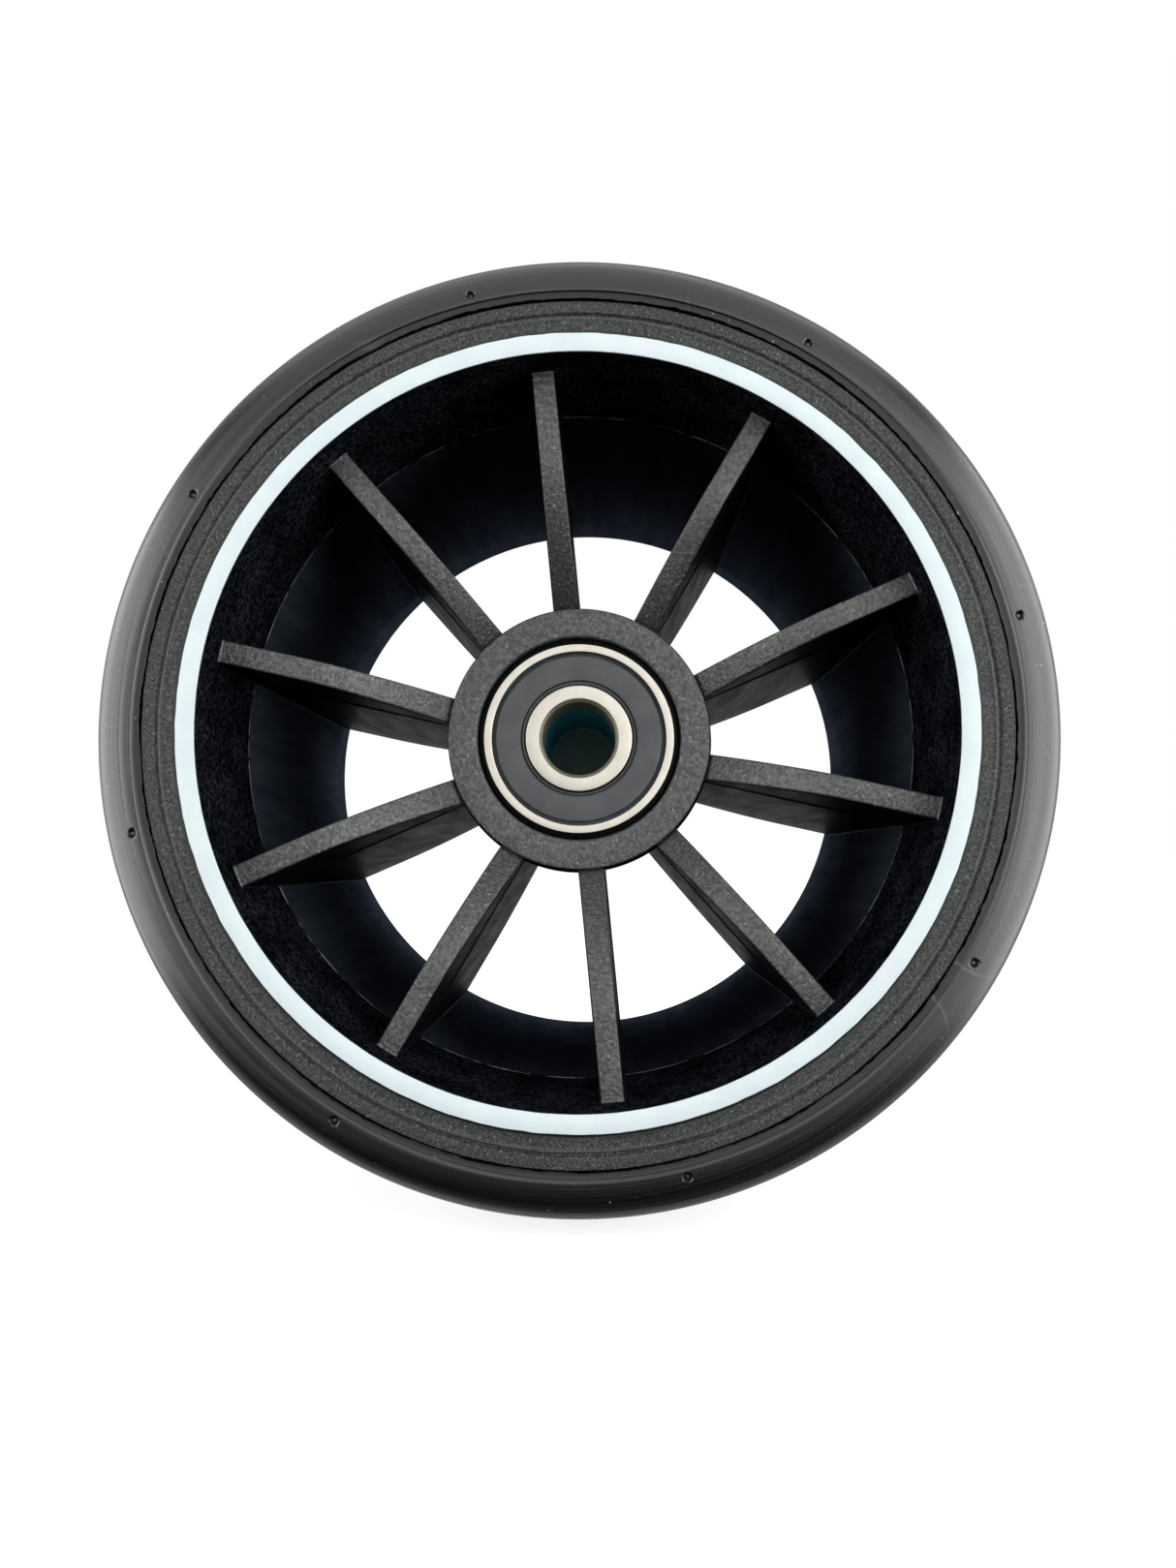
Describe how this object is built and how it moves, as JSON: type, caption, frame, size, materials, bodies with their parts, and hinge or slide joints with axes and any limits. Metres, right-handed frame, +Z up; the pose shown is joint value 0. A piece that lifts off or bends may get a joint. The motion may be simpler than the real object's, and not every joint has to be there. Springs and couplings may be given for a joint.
{
  "type": "spoked wheel",
  "caption": "Wide unpowered wheel: smooth solid tyre on a spoked plastic core with a thin white rim stripe and two sealed ball bearings in the hub.",
  "frame": {"origin": "centre of the wheel: on the spin axis, halfway between the front and rear rim lips", "axes": "+Y along the spin axis from the striped front face to the rear face, +Z up with the wheel standing on its tread, +X to the right as seen from the front"},
  "size_m": [0.1, 0.066, 0.1],
  "materials": {
    "tyre": "smooth matte charcoal solid tyre",
    "core_plastic": "fine-grained glass-filled black plastic",
    "stripe_paint": "satin bluish white paint",
    "bearing_steel": "ground bearing steel",
    "seal_rubber": "satin bluish black seal",
    "cage_nylon": "natural nylon",
    "spacer_steel": "turned tube with a dark teal finish"
  },
  "bodies": {
    "axle_set": {"front_inner_ring": "bearing_steel", "bearing_spacer": "spacer_steel", "rear_inner_ring": "bearing_steel"},
    "wheel": {"tyre": "tyre", "rim_barrel": "core_plastic", "rim_stripe": "stripe_paint", "hub_boss": "core_plastic", "spoke_01": "core_plastic", "spoke_02": "core_plastic", "spoke_03": "core_plastic", "spoke_04": "core_plastic", "spoke_05": "core_plastic", "spoke_06": "core_plastic", "spoke_07": "core_plastic", "spoke_08": "core_plastic", "spoke_09": "core_plastic", "spoke_10": "core_plastic", "front_outer_ring": "bearing_steel", "front_seal_a": "seal_rubber", "front_seal_b": "seal_rubber", "rear_outer_ring": "bearing_steel", "rear_seal_a": "seal_rubber", "rear_seal_b": "seal_rubber"},
    "front_cage_set": {"front_cage": "cage_nylon", "front_ball_1": "bearing_steel", "front_ball_2": "bearing_steel", "front_ball_3": "bearing_steel", "front_ball_4": "bearing_steel", "front_ball_5": "bearing_steel", "front_ball_6": "bearing_steel", "front_ball_7": "bearing_steel"},
    "rear_cage_set": {"rear_cage": "cage_nylon", "rear_ball_1": "bearing_steel", "rear_ball_2": "bearing_steel", "rear_ball_3": "bearing_steel", "rear_ball_4": "bearing_steel", "rear_ball_5": "bearing_steel", "rear_ball_6": "bearing_steel", "rear_ball_7": "bearing_steel"}
  },
  "joints": [
    {"name": "wheel_spin", "type": "hinge", "parent": "axle_set", "child": "wheel", "pos_m": [0, 0, 0], "axis": [0, 1, 0], "continuous": true},
    {"name": "front_cage_spin", "type": "hinge", "parent": "axle_set", "child": "front_cage_set", "pos_m": [0, -0.0169, 0], "axis": [0, 1, 0], "continuous": true},
    {"name": "rear_cage_spin", "type": "hinge", "parent": "axle_set", "child": "rear_cage_set", "pos_m": [0, 0.0169, 0], "axis": [0, 1, 0], "continuous": true}
  ],
  "couplings": [
    {"joint": "front_cage_spin", "follows": "wheel_spin", "ratio": 0.6323},
    {"joint": "rear_cage_spin", "follows": "wheel_spin", "ratio": 0.6323}
  ]
}
